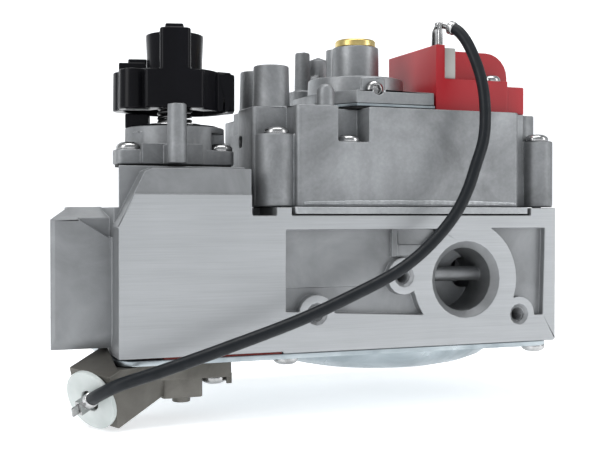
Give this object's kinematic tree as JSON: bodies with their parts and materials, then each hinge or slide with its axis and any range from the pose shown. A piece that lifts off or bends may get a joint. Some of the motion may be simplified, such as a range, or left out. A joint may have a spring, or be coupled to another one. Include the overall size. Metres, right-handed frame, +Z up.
{
  "type": "gas valve",
  "caption": "Combination gas control valve for a boiler, with a push-and-turn knob, a servo regulator, a red operator coil and a jumper lead to its thermocouple block.",
  "frame": {"origin": "centre of the inlet port's mouth, on the machined front flange face", "axes": "+X along the valve's length away from the knob, +Y from the inlet face to the outlet face, +Z up towards the knob and the coil"},
  "size_m": [0.1826, 0.1075, 0.1375],
  "materials": {
    "body_casting": "as-cast, machined on the flange faces",
    "casing_casting": "as-cast",
    "bonnet_casting": "as-cast",
    "regulator_casting": "as-cast",
    "servo_casting": "as-cast",
    "sheet_aluminium": "rolled",
    "zinc_plate": "zinc plated, slightly blue",
    "bright_steel": "bright zinc plated",
    "spring_steel": "drawn wire",
    "brass": "turned",
    "zinc_casting": "warm grey die casting, matt",
    "red_plastic": "moulded, satin",
    "black_plastic": "moulded, glossy",
    "nylon": "translucent white nylon",
    "grey_plastic": "moulded",
    "seal_rubber": "matt",
    "red_gasket": "fibre gasket, dark red",
    "copper": "enamelled copper winding",
    "lead_sleeve": "satin sleeve over the wire"
  },
  "bodies": {
    "body": {"valve_body": "body_casting", "upper_casing": "casing_casting", "knob_bonnet": "bonnet_casting", "regulator_housing": "regulator_casting", "servo_cover": "servo_casting", "separator_plate": "sheet_aluminium", "bottom_cover": "zinc_plate", "regulator_plate": "zinc_plate", "spindle_washer": "bright_steel", "safety_magnet": "bright_steel", "coil_blade": "bright_steel", "block_blade": "bright_steel", "lead_terminal_upper": "bright_steel", "lead_terminal_lower": "bright_steel", "main_valve_spring": "spring_steel", "knob_spring": "spring_steel", "safety_valve_spring": "spring_steel", "regulator_spring": "spring_steel", "plunger_spring": "spring_steel", "pressure_tap_screw_1": "brass", "pressure_tap_screw_2": "brass", "thermocouple_block": "zinc_casting", "coil_housing": "red_plastic", "coil_insert": "grey_plastic", "knob_stop_ring": "black_plastic", "insulating_disc": "nylon", "casing_gasket": "seal_rubber", "bonnet_gasket": "seal_rubber", "regulator_gasket": "seal_rubber", "main_diaphragm": "seal_rubber", "servo_diaphragm": "seal_rubber", "bottom_gasket": "red_gasket", "coil_winding": "copper", "jumper_lead": "lead_sleeve", "cover_screw_1": "bright_steel", "cover_screw_2": "bright_steel", "cover_screw_3": "bright_steel", "cover_screw_4": "bright_steel", "casing_screw_1": "bright_steel", "casing_screw_2": "bright_steel", "casing_screw_3": "bright_steel", "casing_screw_4": "bright_steel", "casing_screw_5": "bright_steel", "bonnet_screw_1": "bright_steel", "bonnet_screw_2": "bright_steel", "regulator_screw": "bright_steel", "coil_screw": "bright_steel", "block_screw": "bright_steel"},
    "cock": {"gas_cock": "brass"},
    "knob": {"control_knob": "black_plastic", "knob_spindle": "bright_steel"},
    "safety_valve": {"safety_valve_disc": "seal_rubber"},
    "main_valve": {"main_valve_disc": "seal_rubber", "diaphragm_plate": "sheet_aluminium"},
    "plunger": {"coil_plunger": "bright_steel"},
    "adjuster": {"regulator_adjuster": "brass"},
    "spring_seat": {"regulator_spring_seat": "brass"},
    "pilot_screw": {"pilot_adjuster": "brass"}
  },
  "joints": [
    {"name": "knob_turn", "type": "hinge", "parent": "body", "child": "cock", "pos_m": [-0.0964, 0.032, 0.015], "axis": [0, 0, 1], "range_deg": [0, 180]},
    {"name": "knob_push", "type": "slide", "parent": "cock", "child": "knob", "axis": [0, 0, -1], "range_m": [0, 0.0045], "stiffness_N_per_m": 600, "springref_m": -0.004, "deforming": ["knob_spring"]},
    {"name": "safety_valve_lift", "type": "slide", "parent": "body", "child": "safety_valve", "axis": [0, 0, -1], "range_m": [0, 0.0045], "deforming": ["safety_valve_spring"]},
    {"name": "main_valve_lift", "type": "slide", "parent": "body", "child": "main_valve", "axis": [0, 0, 1], "range_m": [0, 0.004], "stiffness_N_per_m": 300, "springref_m": -0.004, "deforming": ["main_valve_spring", "main_diaphragm"]},
    {"name": "plunger_lift", "type": "slide", "parent": "body", "child": "plunger", "axis": [0, 0, 1], "range_m": [0, 0.002], "stiffness_N_per_m": 120, "springref_m": -0.002, "deforming": ["plunger_spring"]},
    {"name": "adjuster_turn", "type": "hinge", "parent": "body", "child": "adjuster", "pos_m": [-0.0282, 0.032, 0.08], "axis": [0, 0, -1], "range_deg": [0, 1440]},
    {"name": "spring_seat_travel", "type": "slide", "parent": "body", "child": "spring_seat", "axis": [0, 0, -1], "range_m": [0, 0.003], "deforming": ["regulator_spring"]},
    {"name": "pilot_screw_turn", "type": "hinge", "parent": "body", "child": "pilot_screw", "pos_m": [-0.07, 0.0276, 0.048], "axis": [-1, 0, 0], "range_deg": [0, 720]}
  ],
  "couplings": [
    {"joint": "safety_valve_lift", "follows": "knob_push", "ratio": 1},
    {"joint": "spring_seat_travel", "follows": "adjuster_turn", "m_per_rad": 0.00011937}
  ]
}
